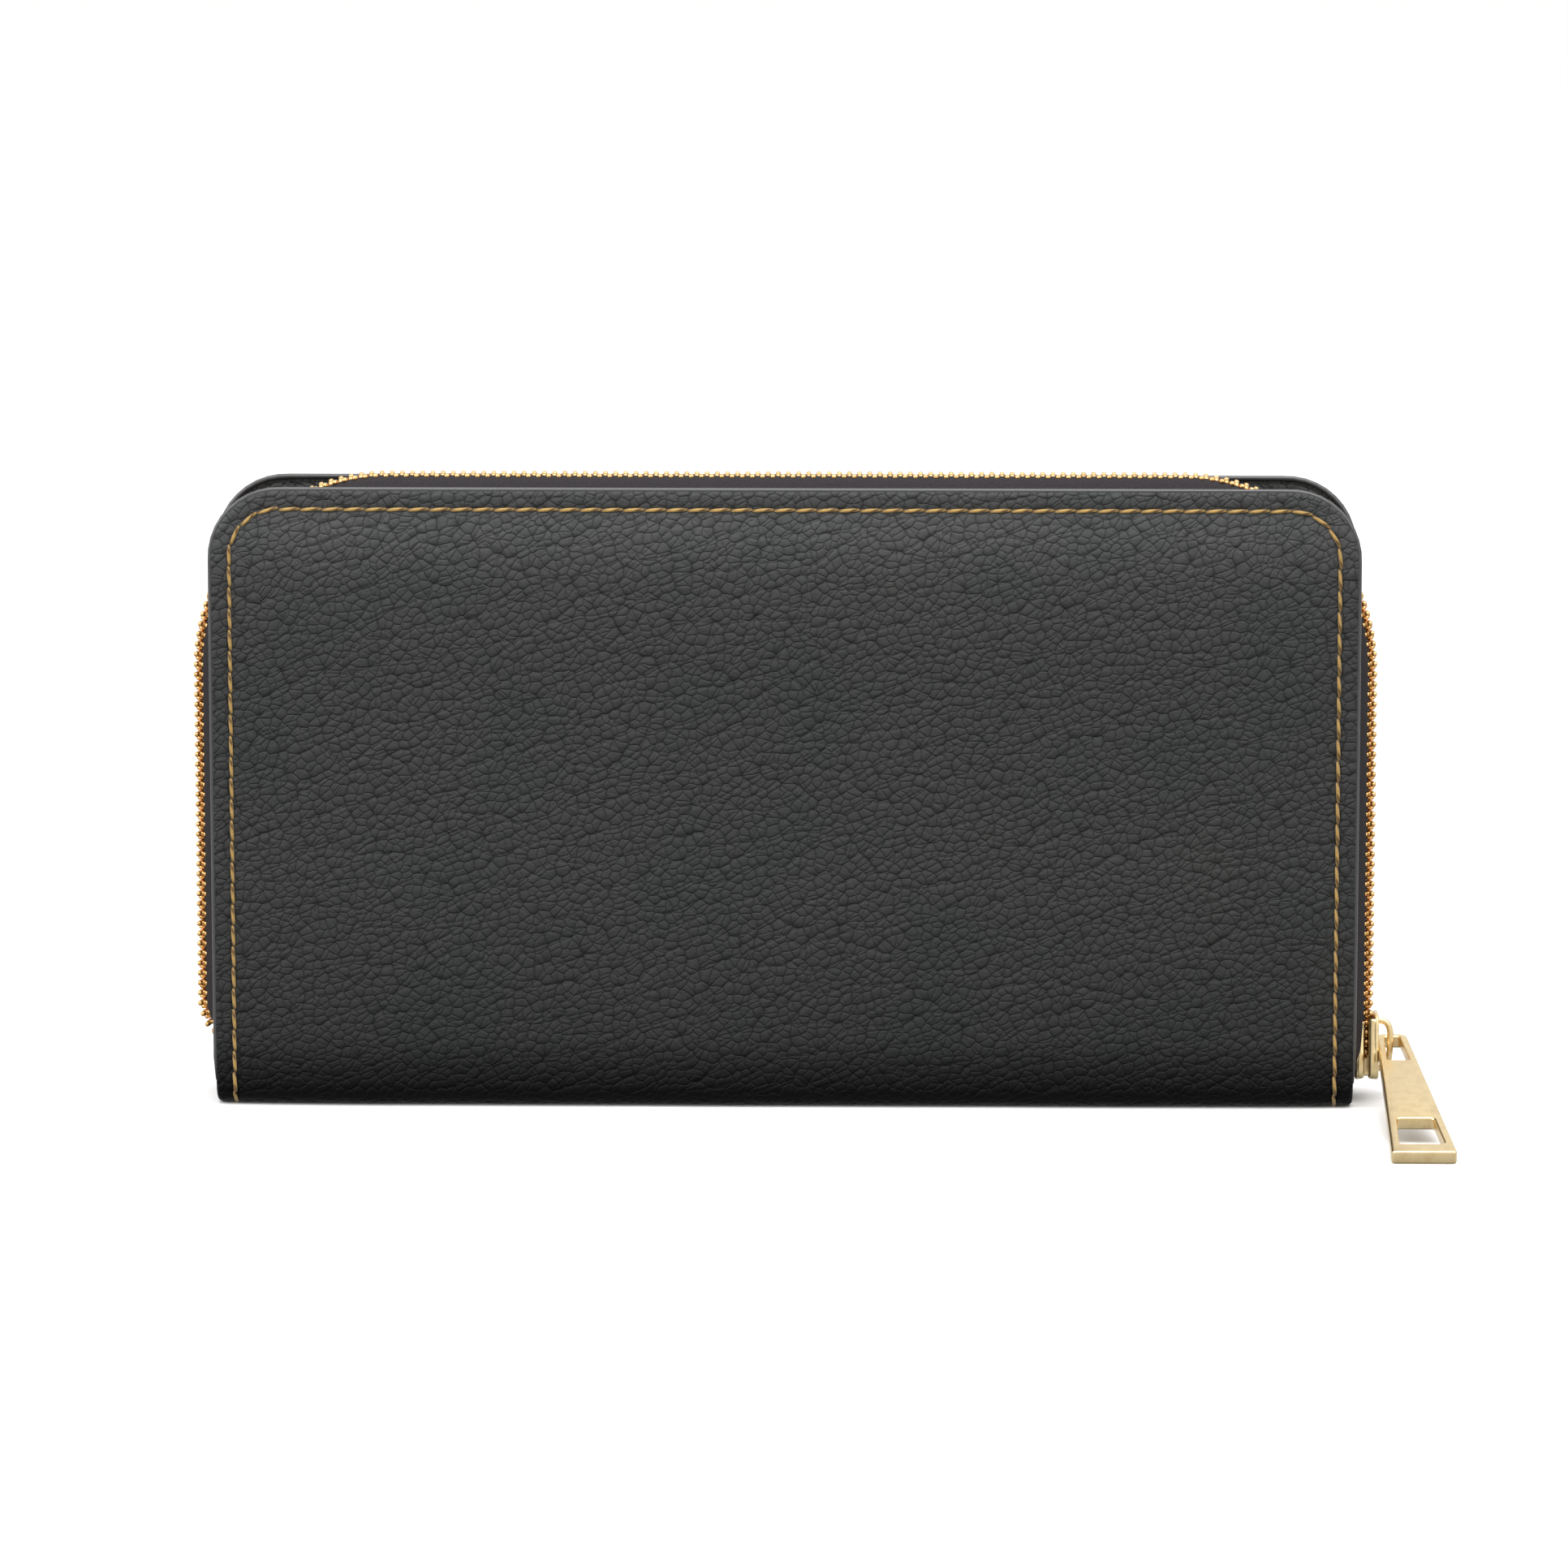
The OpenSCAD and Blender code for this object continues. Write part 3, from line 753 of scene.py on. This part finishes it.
def rounded_blocks(parts, rings=7, sides=10):
    """Blocks, each given by its (along, out, depth) middle and half sizes, as one mesh."""
    verts, faces = [], []
    for middle, half in parts:
        start = len(verts)
        for i in range(rings):
            f = math.pi * (i + 0.5) / rings - math.pi / 2
            for j in range(sides):
                a = 2 * math.pi * j / sides
                unit = (math.cos(f) * math.cos(a), math.cos(f) * math.sin(a), math.sin(f))
                verts.append([m + h * math.copysign(abs(u) ** 0.72, u)
                              for m, h, u in zip(middle, half, unit)])
        faces += tube_faces(rings, sides, start)
    return np.array(verts), faces


# A head that reaches past the middle of the chain, and two legs that grip the tape
TOOTH_VERTS, TOOTH_FACES = rounded_blocks([
    ((0.0, 0.05, 0.55), (0.50, 0.92, 1.05)),
    ((0.0, 0.62, 1.75), (0.46, 0.50, 0.66)),
    ((0.0, -0.60, 1.75), (0.42, 0.44, 0.62))])


def row_of_teeth(stations, side, size=1.0):
    """Teeth at (point, along, out) stations; side is which way the row's tape lies in Y."""
    parts = []
    across = np.array([0.0, side, 0.0])
    for p, along, out in stations:
        v = TOOTH_VERTS * size
        verts = p + v[:, :1] * along + v[:, 1:2] * out + v[:, 2:3] * across
        parts.append((verts, TOOTH_FACES, [(0, 0)] * len(verts)))
    return joined(parts)


def chain_station(s):
    """A tooth's place at a distance along the chain: its point, and which way is along and out."""
    p = chain_point(s)[0]
    ahead = chain_point(s + 0.2)[0] - chain_point(s - 0.2)[0]
    ahead /= np.linalg.norm(ahead)
    return (np.array([p[0], 0.0, p[1]]), np.array([ahead[0], 0.0, ahead[1]]),
            np.array([-ahead[1], 0.0, ahead[0]]))


def main_stations(offset):
    """Places of one row's teeth; an offset of half a tooth puts them between the other row's."""
    first = FIRST_TOOTH + 0.4 - chain.low
    count = int((chain.length - first - 2.0) / TOOTH_PITCH)
    return [chain_station(first + (k + offset) * TOOTH_PITCH) for k in range(count)]


def tape_section(lateral):
    """The tape from under the cover's edge out to the teeth, as (offset, depth) pairs.

    lateral is 1 on the sides and 0 on the top, where the tape stands further out."""
    start = -(4.3 * lateral + 3.0 * (1 - lateral))
    finish = 0.45 - 1.05 * lateral
    points = []
    for k in range(13):
        u = k / 12
        bulge = math.sin(u * math.pi / 2) ** 1.4
        points.append((start + (finish - start) * bulge, TAPE_DEPTH - (TAPE_DEPTH - 0.85) * u))
    return points


def make_tape(side, body, node, name):
    stations = np.linspace(0.0, chain.length, 300)
    verts, uvs = [], []
    for s in stations:
        p, n = chain_point(s)
        for offset, w in tape_section(abs(n[0]) if abs(n[1]) < 0.999 else 0.0):
            q = p + n * offset
            verts.append((q[0], side * w, q[1]))
            uvs.append((s * MM, w * MM))
    piece = make_piece(name, verts, grid_faces(len(stations), 13), TAPE, uvs)
    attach(outward(thickened(piece, 0.5)), body)
    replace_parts(piece, node)


for side, body, end in HALVES:
    make_tape(side, body, "zip_tape_" + end, "zip_tape_woven_" + end)
    v, f, u = row_of_teeth(main_stations(0.0 if side == FRONT else 0.5), side)
    teeth = make_piece("zip_teeth_row_" + end, v, f, GOLD, u)
    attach(outward(teeth), body)
    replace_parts(teeth, "zip_teeth_" + end)


def make_stops():
    """A clamp on the back tape at each end of the chain, turned with the tucked-in tape."""
    stations = [chain_station(s) for s in (FIRST_TOOTH - 1.4 - TAPE_FOOT, chain.length - 0.6)]
    v, f, u = row_of_teeth(stations, BACK, 1.12)
    stops = make_piece("zip_end_stop_clamps", v, f, GOLD, u)
    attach(outward(stops), "back_half")
    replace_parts(stops, "zip_end_stops")


make_stops()


# -------------------------------- main slider and pull
slider_low, slider_high = box_mm("zip_slider")
bridge_low, bridge_high = box_mm("zip_slider_bridge")
PIVOT = joint_pos("zip_pull_swing")
SLIDER_L = slider_high[2] - slider_low[2]
PLATE_T = 0.8


def slider_outline(wide, tail, length, r=1.2):
    """The slider's plate: broad shoulders where the rows part, and a narrow tail."""
    half = [(wide - r, 0.0), (wide - 0.3 * r, 0.3 * r), (wide, r), (wide, length * 0.36),
            (wide - 0.15, length * 0.45), (tail + 0.15, length * 0.80), (tail, length - r),
            (tail - 0.3 * r, length - 0.3 * r), (tail - r, length)]
    return half + [(-a, b) for a, b in reversed(half)]


def slider_plate(name, x, thickness, wide, tail):
    return plate(name, [slider_outline(wide, tail, SLIDER_L)], thickness, thickness * 0.42,
                 lambda a, b, c: (x + c, a, slider_low[2] + b), PALE_GOLD)


slider_pieces = [
    slider_plate("zip_slider_outer_plate", slider_high[0] - PLATE_T / 2 + 0.05, PLATE_T + 0.1,
                 4.1, 3.1),
    slider_plate("zip_slider_inner_plate", slider_low[0] + PLATE_T / 2 - 0.05, PLATE_T, 4.0, 3.0)]
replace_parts(slider_pieces[0], "zip_slider")
# Each plate's edges are turned towards the other one, and follow its outline
for side in (-1, 1):
    for end, x, wide, length in (("outer", slider_high[0] - 0.95, 3.75, 0.94),
                                 ("inner", slider_low[0] + 0.75, 3.60, 0.90)):
        edge = [(wide - 0.5, 0.5), (wide, 1.3), (wide, SLIDER_L * 0.36),
                (wide - 0.35, SLIDER_L * 0.5), (wide - 0.95, SLIDER_L * 0.78),
                (wide - 1.05, SLIDER_L * length)]
        v, f, u = swept_tube(smooth_points([(x, side * a, slider_low[2] + b) for a, b in edge], 4),
                             0.78, 14, 0.56)
        flange = make_piece(f"zip_slider_{end}_flange_" + ("back" if side > 0 else "front"), v, f,
                            PALE_GOLD, u)
        slider_pieces.append(outward(flange))
# The post that parts the two rows
diamond = [(-1.5, 0.3), (0.0, 0.0), (1.5, 0.3), (1.3, 1.8), (0.0, 4.2), (-1.3, 1.8)]
slider_pieces.append(plate("zip_slider_diamond", [rounded(diamond, [0.3] * 6)],
                           slider_high[0] - slider_low[0] - 1.0, 0.1,
                           lambda a, b, c: ((slider_low[0] + slider_high[0]) / 2 + c, a * 0.4,
                                            slider_low[2] + b), PALE_GOLD))
RING_MID = (bridge_low[2] + bridge_high[2]) / 2
# The ring, as (how far out, how far up) in shares of its own reach and half height
RING_SHAPE = [(-0.25, 0.90), (0.25, 0.92), (0.62, 0.80), (0.80, 0.52), (0.82, 0.22),
              (0.80, -0.10), (0.76, -0.42), (0.66, -0.68), (0.42, -0.86), (0.10, -0.90),
              (-0.25, -0.88)]
arch = [(slider_high[0] + (bridge_high[0] - slider_high[0]) * a, 0,
         RING_MID + (bridge_high[2] - RING_MID) * b)
        for a, b in RING_SHAPE]
v, f, u = swept_tube(smooth_points(arch), 0.56, 12)
bridge = make_piece("zip_slider_loop", v, f, PALE_GOLD, u)
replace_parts(outward(bridge), "zip_slider_bridge")
for piece in slider_pieces + [bridge]:
    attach(piece, "zip_slider")

pull_low, pull_high = box_mm("zip_pull")
# From the pivot to the tip and to the back of the head; the tip is wider than the head, and
# PULL_SPLAY is how much of that lies on the inner side
PULL_L = 55.0
PULL_BACK = 4.55
PULL_T = 2.3
HEAD_W = 5.15
PULL_SPLAY = 0.6
PULL_W = pull_high[0] - pull_low[0]
PULL_REST = math.asin((PIVOT[2] - PULL_T / 2) / PULL_L)


def pull_place(a, b, c):
    """From the pull's own plane to its place at rest: a across, b along, c through."""
    return (pull_low[0] + PULL_SPLAY + a,
            PIVOT[1] + b * math.cos(PULL_REST) - c * math.sin(PULL_REST),
            PIVOT[2] + b * math.sin(PULL_REST) + c * math.cos(PULL_REST))


def pull_share(along):
    """0 at the head of the pull and 1 at its tip."""
    return (PULL_BACK - along) / (PULL_BACK + PULL_L)


def inner_edge(along):
    return -PULL_SPLAY * pull_share(along)


def outer_edge(along):
    return HEAD_W + (PULL_W - PULL_SPLAY - HEAD_W) * pull_share(along)


def pull_window(back, front, side, r):
    return rounded([(inner_edge(back) + side, back), (outer_edge(back) - side, back),
                    (outer_edge(front) - side, front), (inner_edge(front) + side, front)], [r] * 4)


pull_rim = rounded([(0.0, PULL_BACK), (HEAD_W, PULL_BACK), (outer_edge(-PULL_L), -PULL_L),
                    (-PULL_SPLAY, -PULL_L)], [1.0, 1.6, 0.7, 0.7])
pull = plate("zip_pull_tab", [pull_rim, pull_window(3.3, -9.0, 1.25, 0.5),
                              pull_window(16.7 - PULL_L, 3.9 - PULL_L, 1.5, 0.8)],
             PULL_T, 0.38, pull_place, PALE_GOLD, rings=4)
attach(pull, "zip_pull")
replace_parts(pull, "zip_pull")


# -------------------------------- inside: slots and dividers
def flat_place(side, depth):
    return lambda a, b, c: (a, side * (depth + c), b)


def inner_panel(node, side, body):
    low, high = box_mm(node)
    near, far = sorted((abs(low[1]), abs(high[1])))
    outline = panel_points(high[0], low[2], high[2])
    piece = plate(node + "_leather", [outline], far - near - 0.04, 0.2,
                  flat_place(side, (near + far) / 2), INNER)
    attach(piece, body)
    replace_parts(piece, node)
    return high[2], near


def inner_seam(name, runs, out, body):
    """Fine black stitches along straight runs, each a pair of points."""
    parts = []
    out = np.array([0.0, out, 0.0])
    pitch = 3.0
    for a, b in runs:
        a, b = np.array(a, float), np.array(b, float)
        run = np.linalg.norm(b - a)
        along = (b - a) / run
        for k in range(int(run / pitch)):
            parts.append(stitch(a + along * (k + 0.5) * pitch, along, out, 2.3, 0.08, 0.16))
    v, f, u = joined(parts)
    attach(outward(make_piece(name, v, f, INNER, u)), body)


# Upright seams at the middle and both ends of each slot, and two along its mouth
SLOT_SEAM_X = 91.5
for side, body, end in HALVES:
    inner_panel(end + "_bill_divider", side, body)
    runs = []
    last_mouth = 5.5
    for k in (4, 3, 2, 1):
        mouth, near = inner_panel(f"{end}_card_slot_{k}", side, body)
        y = side * (near - 0.02)
        for x in (-SLOT_SEAM_X, 0.0, SLOT_SEAM_X):
            runs.append([(x, y, last_mouth + 0.5), (x, y, mouth - 0.8)])
        for sign in (-1, 1):
            a, b = sorted((sign * 1.5, sign * (SLOT_SEAM_X - 1.0)))
            runs.append([(a, y, mouth - 1.6), (b, y, mouth - 1.6)])
        last_mouth = mouth
    inner_seam(end + "_slot_stitching", runs, -side, body)


# -------------------------------- side gussets
PLEAT_HALF = 4.4
GUSSET_EDGE = 7.2


def folded_in(y):
    """How far a gusset is folded in at y: nearly 1 in the middle, 0 from PLEAT_HALF outwards."""
    return max(0.0, 1 - math.sqrt(y * y + 0.16) / PLEAT_HALF)


def gusset_sheet(name, verts, uvs, across, thickness):
    sheet = make_piece(name, verts, grid_faces(len(verts) // across, across), GUSSET,
                       uvs)
    return outward(thickened(sheet, thickness))


def make_gusset(sign, node):
    """A pleat between the halves, and a foot inside it, sewn down over the fold."""
    low, high = box_mm(node)
    mouth = max(abs(low[0]), abs(high[0])) - 0.3
    tip = min(abs(low[0]), abs(high[0])) + 0.4
    profile = np.linspace(-GUSSET_EDGE, GUSSET_EDGE, 41)
    rows = np.linspace(low[2] - 0.8, high[2], 40)
    verts, uvs = [], []
    for z in rows:
        for y in profile:
            top_dip = 5.0 * folded_in(y) * max(0.0, (z - rows[0]) / (rows[-1] - rows[0])) ** 3
            verts.append((sign * (mouth - (mouth - tip) * folded_in(y) ** 0.9), y, z - top_dip))
            uvs.append((y * MM, z * MM))
    pleat = gusset_sheet(node + "_pleat", verts, uvs, len(profile), 0.45)
    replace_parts(pleat, node)
    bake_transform(pleat)
    foot_low, foot_front = 2.1, -6.8
    profile = np.linspace(foot_front, GUSSET_EDGE, 33)
    verts, uvs = [], []
    for row in np.linspace(0.0, 1.0, 12):
        for y in profile:
            z = foot_low + row * min(8.0, 4.4 + 1.4 * (y - foot_front))
            verts.append((sign * (mouth + 0.7 - (mouth - tip) * folded_in(y) ** 0.9), y, z))
            uvs.append((y * MM, z * MM))
    foot = gusset_sheet(node + "_foot", verts, uvs, len(profile), 0.4)
    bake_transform(foot)


make_gusset(-1, "left_gusset")
make_gusset(1, "right_gusset")


# -------------------------------- coin pocket on the leaf
coin_low, coin_high = box_mm("coin_pocket_back_panel")
for side, node in ((FRONT, "coin_pocket_front_panel"), (BACK, "coin_pocket_back_panel")):
    depth = (coin_low[1] + coin_high[1]) / 2
    panel = plate(node + "_leather", [panel_points(coin_high[0], coin_low[2], coin_high[2])],
                  coin_high[1] - coin_low[1], 0.25, flat_place(side, depth), INNER)
    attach(panel, "coin_pocket")
    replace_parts(panel, node)
    y = side * (coin_high[1] + 0.02)
    rim, foot, top = coin_high[0] - 2.0, 6.5, coin_high[2] - 2.0
    inner_seam(node + "_stitching",
               [[(-rim, y, top), (rim, y, top)], [(-rim, y, foot), (rim, y, foot)],
                [(-rim, y, foot), (-rim, y, top)], [(rim, y, foot), (rim, y, top)]],
               side, "coin_pocket")

# A strip round the pocket's bottom and sides
edge_low, edge_high = box_mm("coin_pocket_edge")
far, near = edge_high[0], edge_high[0] - 3.0
foot, floor, top = edge_low[2], edge_low[2] + 3.0, edge_high[2]
strip = [(-far, foot), (far, foot), (far, top), (near, top), (near, floor), (-near, floor),
         (-near, top), (-far, top)]
turned = plate("coin_pocket_turned_edge", [strip], edge_high[1] - edge_low[1] - 0.1, 0.4,
               lambda a, b, c: (a, c, b), INNER)
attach(turned, "coin_pocket")
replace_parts(turned, "coin_pocket_edge")

tape_low, tape_high = box_mm("coin_zip_tape")
tapes = []
for side in (-1, 1):
    verts, uvs = [], []
    xs = np.linspace(tape_low[0], tape_high[0], 60)
    for x in xs:
        for k in range(8):
            u = k / 7
            z = tape_low[2] + (tape_high[2] - tape_low[2] - 0.8) * min(1.0, u * 1.25)
            y = tape_high[1] - 0.2 - (1.0 * ((u - 0.8) / 0.2) if u > 0.8 else 0.0)
            verts.append((x, side * y, z))
            uvs.append((x * MM, (z + 3 * u) * MM))
    tapes.append((verts, grid_faces(len(xs), 8), uvs))
v, f, u = joined(tapes)
coin_tape = outward(thickened(make_piece("coin_zip_woven_tape", v, f, TAPE, u), 0.35))
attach(coin_tape, "coin_pocket")
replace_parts(coin_tape, "coin_zip_tape")

ct_low, ct_high = box_mm("coin_zip_teeth")
X_AXIS, Z_AXIS = np.array([1.0, 0.0, 0.0]), np.array([0.0, 0.0, 1.0])
COIN_PITCH = 1.5
coin_rows = []
for side, offset in ((-1, 0.0), (1, 0.5)):
    count = int((ct_high[0] - ct_low[0]) / COIN_PITCH) - 1
    stations = [(np.array([ct_low[0] + 0.7 + (k + offset) * COIN_PITCH, 0.0,
                           (ct_low[2] + ct_high[2]) / 2]), X_AXIS, Z_AXIS) for k in range(count)]
    coin_rows.append(row_of_teeth(stations, side, 0.62))
v, f, u = joined(coin_rows)
coin_teeth = make_piece("coin_zip_rows", v, f, GOLD, u)
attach(outward(coin_teeth), "coin_pocket")
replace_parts(coin_teeth, "coin_zip_teeth")

cs_low, cs_high = box_mm("coin_zip_slider")
coin_x = (cs_low[0] + cs_high[0]) / 2
COIN_PIVOT = joint_pos("coin_zip_pull_swing")
coin_plate_z = box_mm("coin_pocket_back_panel")[1][2] + 0.7
coin_l = cs_high[0] - cs_low[0]


def coin_outline(wide, tail):
    points = [(0.0, -tail), (coin_l * 0.6, -wide), (coin_l, -wide), (coin_l, wide),
              (coin_l * 0.6, wide), (0.0, tail)]
    return rounded(points, [0.5, 1.5, 0.9, 0.9, 1.5, 0.5])


coin_parts = [
    plate("coin_zip_slider_top", [coin_outline(2.2, 1.7)], 0.8, 0.33,
          lambda a, b, c: (cs_low[0] + a, b, coin_plate_z + c), PALE_GOLD),
    plate("coin_zip_slider_base", [coin_outline(1.3, 1.1)], 0.7, 0.28,
          lambda a, b, c: (cs_low[0] + a, b, cs_low[2] + 0.35 + c), PALE_GOLD)]
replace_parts(coin_parts[0], "coin_zip_slider")
# The loop that the pull hangs in: half of it, from its foot up to its top, and the mirrored half
half_arch = [(2.0, coin_plate_z), (2.0, COIN_PIVOT[2] + 0.1), (1.2, COIN_PIVOT[2] + 0.95)]
coin_arch = [(coin_x - x, 0, z) for x, z in half_arch]
coin_arch += [(coin_x, 0, COIN_PIVOT[2] + 1.05)]
coin_arch += [(coin_x + x, 0, z) for x, z in reversed(half_arch)]
v, f, u = swept_tube(smooth_points(coin_arch, 4), 0.38, 10)
coin_parts.append(outward(make_piece("coin_zip_slider_loop", v, f, PALE_GOLD, u)))
for piece in coin_parts:
    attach(piece, "coin_zip_slider")

cp_low, cp_high = box_mm("coin_zip_pull")
reach = COIN_PIVOT[0] - cp_low[0]
coin_edge = rounded([(-reach, -2.0), (0.5, -1.9), (0.5, 1.9), (-reach, 2.0)], [1.3, 0.5, 0.5, 1.3])
coin_hole = rounded([(-3.0, -1.0), (-0.4, -1.0), (-0.4, 1.0), (-3.0, 1.0)], [0.4] * 4)
coin_pull = plate("coin_zip_pull_tab", [coin_edge, coin_hole], 0.95, 0.22,
                  lambda a, b, c: (COIN_PIVOT[0] + a, b, COIN_PIVOT[2] + c), PALE_GOLD)
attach(coin_pull, "coin_zip_pull")
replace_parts(coin_pull, "coin_zip_pull")

for node in ("front_cover_board", "back_cover_board"):
    frame["nodes"][node].data.materials.clear()
    frame["nodes"][node].data.materials.append(BOARD)


# -------------------------------- floor, light and camera
# How bright the sky is, from straight down (-1) to straight up (1)
SKY = [(-1.0, 0.18), (-0.14, 0.66), (0.04, 0.68), (0.45, 0.67), (1.0, 1.0)]


def make_floor():
    size = 9000.0 * MM
    mesh = bpy.data.meshes.new("studio_floor")
    mesh.from_pydata([(-size, -size, 0), (size, -size, 0), (size, size, 0), (-size, size, 0)],
                     [], [(0, 1, 2, 3)])
    mesh.materials.append(floor_material())
    floor = new_object("studio_floor", mesh)
    # The floor takes shadows, but does not light the leather from below
    floor.visible_diffuse = False
    floor.visible_glossy = False


def area_light(name, place, target, size, power):
    """A soft box; its place, target and size are in metres."""
    light = bpy.data.lights.new(name, "AREA")
    light.shape = "RECTANGLE"
    light.size, light.size_y = size
    light.energy = power
    lamp = new_object(name, light)
    lamp.location = place
    lamp.rotation_euler = (Vector(target) - Vector(place)).to_track_quat("-Z", "Y").to_euler()


def make_lights():
    """A sky that is bright overhead and dim below, with three soft boxes."""
    world = bpy.data.worlds.new("studio")
    world.use_nodes = True
    tree = world.node_tree
    place = tree.nodes.new("ShaderNodeTexCoord")
    split = tree.nodes.new("ShaderNodeSeparateXYZ")
    level = tree.nodes.new("ShaderNodeMath")
    level.operation = "MULTIPLY_ADD"
    level.inputs[1].default_value = level.inputs[2].default_value = 0.5
    ramp = tree.nodes.new("ShaderNodeValToRGB")
    tree.links.new(place.outputs["Generated"], split.inputs[0])
    tree.links.new(split.outputs[2], level.inputs[0])
    tree.links.new(level.outputs[0], ramp.inputs[0])
    tree.links.new(ramp.outputs[0], tree.nodes["Background"].inputs[0])
    fill_ramp(ramp, [(height / 2 + 0.5, glow) for height, glow in SKY])
    tree.nodes["Background"].inputs[1].default_value = 1.35
    bpy.context.scene.world = world
    middle = (0, 0, COVER_TOP / 2 * MM)
    area_light("overhead_softbox", (0.1, -0.35, 1.15), middle, (1.3, 0.8), 13)
    area_light("left_softbox", (-1.0, -0.45, 0.6), middle, (0.35, 0.9), 7)
    area_light("right_softbox", (1.0, -0.7, 0.75), middle, (0.35, 0.9), 5)


def make_camera():
    """In front, a little to the right and above; the picture spans 274 mm at the target."""
    azimuth, elevation, distance = math.radians(1.0), math.radians(9.7), 1400.0
    target = Vector((0.0, -HALF_T, 57.8))
    back = Vector((math.sin(azimuth) * math.cos(elevation),
                   -math.cos(azimuth) * math.cos(elevation), math.sin(elevation)))
    data = bpy.data.cameras.new("camera")
    data.sensor_width = 36.0
    width_at_target = 274.0
    data.lens = data.sensor_width * distance / width_at_target
    data.clip_start, data.clip_end = 0.01, 50
    camera = new_object("camera", data)
    camera.location = (target + back * distance) * MM
    camera.rotation_euler = (-back).to_track_quat("-Z", "Y").to_euler()
    bpy.context.scene.camera = camera


make_floor()
make_lights()
make_camera()
bpy.context.scene.view_settings.view_transform = "Standard"
